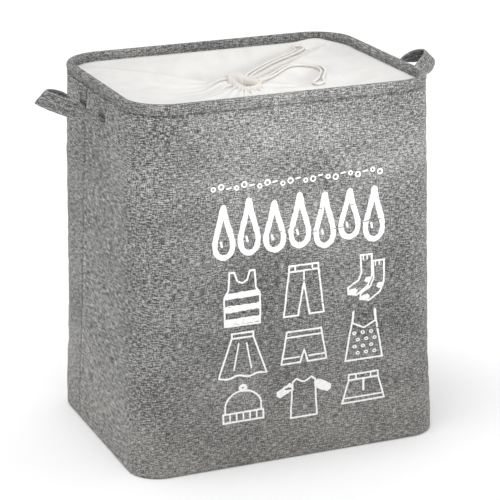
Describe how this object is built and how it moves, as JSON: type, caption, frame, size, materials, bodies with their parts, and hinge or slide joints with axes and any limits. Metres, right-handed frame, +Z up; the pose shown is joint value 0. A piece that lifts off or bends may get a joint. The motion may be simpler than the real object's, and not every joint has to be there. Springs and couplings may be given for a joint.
{
  "type": "laundry hamper",
  "caption": "Tall rectangular fabric laundry hamper with rounded corners, strap handles on its short sides and a gathered drawstring cloth cover.",
  "frame": {"origin": "centre of the footprint on the floor", "axes": "+Z up, +X along the long side towards the right handle, -Y out of the front wall"},
  "size_m": [0.5802, 0.336, 0.5],
  "materials": {
    "grey_linen_cloth": "matte woven",
    "grey_strap_cloth": "matte woven, folded and stitched",
    "white_lining": "smooth coated",
    "white_cover_cloth": "matte plain weave",
    "cream_cord": "matte braided",
    "foam_core": "matte closed-cell foam sheet",
    "base_board": "matte pressed board",
    "rim_wire": "drawn"
  },
  "bodies": {
    "root": {"outer_wall_cloth": "grey_linen_cloth", "wall_foam": "foam_core", "wall_lining": "white_lining", "base_cloth": "grey_linen_cloth", "base_board": "base_board", "floor_lining": "white_lining", "rim_hem": "grey_linen_cloth", "rim_wire": "rim_wire", "cover_seam_band": "white_cover_cloth", "handle_left_tail_front": "grey_strap_cloth", "handle_left_tail_back": "grey_strap_cloth", "handle_right_tail_front": "grey_strap_cloth", "handle_right_tail_back": "grey_strap_cloth"},
    "left_handle": {"handle_left": "grey_strap_cloth"},
    "right_handle": {"handle_right": "grey_strap_cloth"},
    "front_cover": {"cover_front": "white_cover_cloth", "mouth_casing_front": "white_cover_cloth", "drawstring_front": "cream_cord"},
    "back_cover": {"cover_back": "white_cover_cloth", "mouth_casing_back": "white_cover_cloth", "drawstring_back": "cream_cord", "pull_loop_back": "cream_cord"},
    "left_cover": {"cover_left": "white_cover_cloth", "mouth_casing_left": "white_cover_cloth", "drawstring_left": "cream_cord"},
    "right_cover": {"cover_right": "white_cover_cloth", "mouth_casing_right": "white_cover_cloth", "drawstring_right": "cream_cord", "pull_loop_right": "cream_cord"}
  },
  "joints": [
    {"name": "left_handle_swing", "type": "hinge", "parent": "root", "child": "left_handle", "pos_m": [-0.21286, 0.006, 0.457], "axis": [0, 1, 0], "range_deg": [-95, 50]},
    {"name": "right_handle_swing", "type": "hinge", "parent": "root", "child": "right_handle", "pos_m": [0.21286, 0.006, 0.457], "axis": [0, -1, 0], "range_deg": [-95, 50]},
    {"name": "cover_open", "type": "hinge", "parent": "root", "child": "front_cover", "pos_m": [0, -0.15413, 0.484], "axis": [-1, 0, 0], "range_deg": [0, 75]},
    {"name": "cover_open_back", "type": "hinge", "parent": "root", "child": "back_cover", "pos_m": [0, 0.15413, 0.484], "axis": [1, 0, 0], "range_deg": [0, 75]},
    {"name": "cover_open_left", "type": "hinge", "parent": "root", "child": "left_cover", "pos_m": [-0.20032, 0, 0.484], "axis": [0, 1, 0], "range_deg": [0, 75]},
    {"name": "cover_open_right", "type": "hinge", "parent": "root", "child": "right_cover", "pos_m": [0.20032, 0, 0.484], "axis": [0, -1, 0], "range_deg": [0, 75]}
  ],
  "couplings": [
    {"joint": "cover_open_back", "follows": "cover_open", "ratio": 1},
    {"joint": "cover_open_left", "follows": "cover_open", "ratio": 1},
    {"joint": "cover_open_right", "follows": "cover_open", "ratio": 1}
  ]
}
